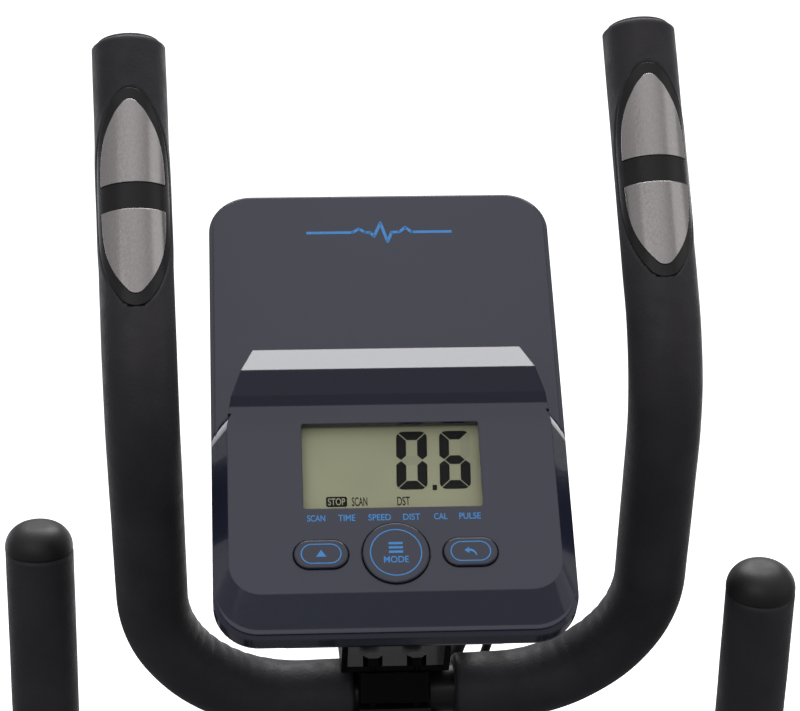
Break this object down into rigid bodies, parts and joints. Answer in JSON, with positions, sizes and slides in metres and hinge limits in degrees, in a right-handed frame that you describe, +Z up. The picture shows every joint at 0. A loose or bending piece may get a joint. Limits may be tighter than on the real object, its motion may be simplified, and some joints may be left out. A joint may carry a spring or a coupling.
{
  "type": "elliptical trainer",
  "caption": "Free-standing elliptical trainer with a leaning mast, tilted display console, U-shaped pulse handlebar, swinging arms, foot plates on a crank, and an enclosed belt-driven flywheel.",
  "frame": {"origin": "middle of the footprint, on the floor", "axes": "+X the user's right, +Y forward from the user towards the mast, +Z up"},
  "size_m": [0.52, 1.228, 1.5829],
  "materials": {
    "frame_paint": "satin powder coat",
    "swing_paint": "satin powder coat",
    "foam": "matt closed-cell foam",
    "stainless": "polished stainless",
    "steel": "zinc-plated",
    "console_plastic": "gloss",
    "trim_plastic": "gloss",
    "black_plastic": "fine texture",
    "housing_plastic": "fine texture",
    "grey_plastic": "satin",
    "pad_rubber": "ribbed",
    "tread_rubber": "matt",
    "display_glass": "clear",
    "display_lcd": "satin",
    "board_green": "satin",
    "belt_rubber": "ribbed",
    "cast_iron": "machined",
    "cable_rubber": "satin"
  },
  "bodies": {
    "frame": {"main_frame": "frame_paint", "front_stabilizer": "frame_paint", "rear_stabilizer": "frame_paint", "end_caps": "black_plastic", "frame_bolts": "steel", "mast": "frame_paint", "swing_axle": "steel", "bearings": "steel", "handlebar": "frame_paint", "clamp_cap": "frame_paint", "bracket_bolts": "steel", "foam_grips": "foam", "pulse_surrounds": "trim_plastic", "pulse_plates": "stainless", "grip_plugs": "black_plastic", "console_back": "console_plastic", "console_front": "console_plastic", "battery_door": "console_plastic", "display_lens": "display_glass", "display_module": "display_lcd", "circuit_board": "board_green", "rest_pad": "pad_rubber", "panel_screws": "steel", "console_bracket": "frame_paint", "pulse_cable": "cable_rubber", "drive_cable": "cable_rubber", "knob_base": "black_plastic", "drive_belt": "belt_rubber", "housing_left": "housing_plastic", "housing_right": "housing_plastic"},
    "crank": {"crank_axle": "steel", "crank_arms": "swing_paint", "crank_pins": "steel", "pedal_bearings": "steel", "crank_pulley": "black_plastic", "crank_discs": "grey_plastic"},
    "pedal_left": {"pedal_arm_left": "swing_paint", "foot_plate_left": "tread_rubber"},
    "pedal_right": {"pedal_arm_right": "swing_paint", "foot_plate_right": "tread_rubber"},
    "flywheel": {"flywheel": "cast_iron", "flywheel_shaft": "steel"},
    "brake": {"brake_shoe": "steel", "brake_magnets": "steel"},
    "swing_left": {"swing_arm_left": "swing_paint", "moving_handle_left": "swing_paint", "moving_grip_left": "foam", "handle_cap_left": "black_plastic", "swing_bolts_left": "steel"},
    "swing_right": {"swing_arm_right": "swing_paint", "moving_handle_right": "swing_paint", "moving_grip_right": "foam", "handle_cap_right": "black_plastic", "swing_bolts_right": "steel"},
    "mode_key": {"mode_button": "console_plastic"},
    "up_key": {"up_button": "console_plastic"},
    "return_key": {"return_button": "console_plastic"},
    "tension_knob": {"tension_knob": "grey_plastic"},
    "wheel_left": {"transport_wheel_left": "black_plastic"},
    "wheel_right": {"transport_wheel_right": "black_plastic"}
  },
  "joints": [
    {"name": "crank_spin", "type": "hinge", "parent": "frame", "child": "crank", "pos_m": [0, -0.33, 0.34], "axis": [1, 0, 0], "continuous": true},
    {"name": "pedal_left_turn", "type": "hinge", "parent": "crank", "child": "pedal_left", "pos_m": [-0.14, -0.36859, 0.47458], "axis": [1, 0, 0], "continuous": true},
    {"name": "pedal_right_turn", "type": "hinge", "parent": "crank", "child": "pedal_right", "pos_m": [0.14, -0.29141, 0.20542], "axis": [1, 0, 0], "continuous": true},
    {"name": "flywheel_spin", "type": "hinge", "parent": "frame", "child": "flywheel", "pos_m": [0, -0.115, 0.29], "axis": [1, 0, 0], "continuous": true},
    {"name": "swing_left", "type": "hinge", "parent": "frame", "child": "swing_left", "pos_m": [-0.177, 0.36586, 0.9], "axis": [1, 0, 0], "range_deg": [-8.1, 16.6]},
    {"name": "swing_right", "type": "hinge", "parent": "frame", "child": "swing_right", "pos_m": [0.177, 0.36586, 0.9], "axis": [1, 0, 0], "range_deg": [-16.6, 8.1]},
    {"name": "knob_turn", "type": "hinge", "parent": "frame", "child": "tension_knob", "pos_m": [0, 0.325, 1.02], "axis": [0, -1, 0], "range_deg": [0, 300]},
    {"name": "brake_lift", "type": "hinge", "parent": "frame", "child": "brake", "pos_m": [-0.012, -0.01179, 0.36227], "axis": [-1, 0, 0], "range_deg": [0, 6]},
    {"name": "mode_press", "type": "slide", "parent": "frame", "child": "mode_key", "axis": [0, 0.7071, -0.7071], "range_m": [0, 0.001], "stiffness_N_per_m": 300},
    {"name": "up_press", "type": "slide", "parent": "frame", "child": "up_key", "axis": [0, 0.7071, -0.7071], "range_m": [0, 0.001], "stiffness_N_per_m": 300},
    {"name": "return_press", "type": "slide", "parent": "frame", "child": "return_key", "axis": [0, 0.7071, -0.7071], "range_m": [0, 0.001], "stiffness_N_per_m": 300},
    {"name": "wheel_left_spin", "type": "hinge", "parent": "frame", "child": "wheel_left", "pos_m": [-0.162, 0.59, 0.031], "axis": [1, 0, 0], "continuous": true},
    {"name": "wheel_right_spin", "type": "hinge", "parent": "frame", "child": "wheel_right", "pos_m": [0.162, 0.59, 0.031], "axis": [1, 0, 0], "continuous": true}
  ],
  "couplings": [
    {"joint": "pedal_left_turn", "follows": "crank_spin", "ratio": -1},
    {"joint": "pedal_right_turn", "follows": "crank_spin", "ratio": -1},
    {"joint": "flywheel_spin", "follows": "crank_spin", "ratio": 5.129},
    {"joint": "swing_right", "follows": "swing_left", "ratio": -1},
    {"joint": "brake_lift", "follows": "knob_turn", "ratio": 0.02}
  ]
}
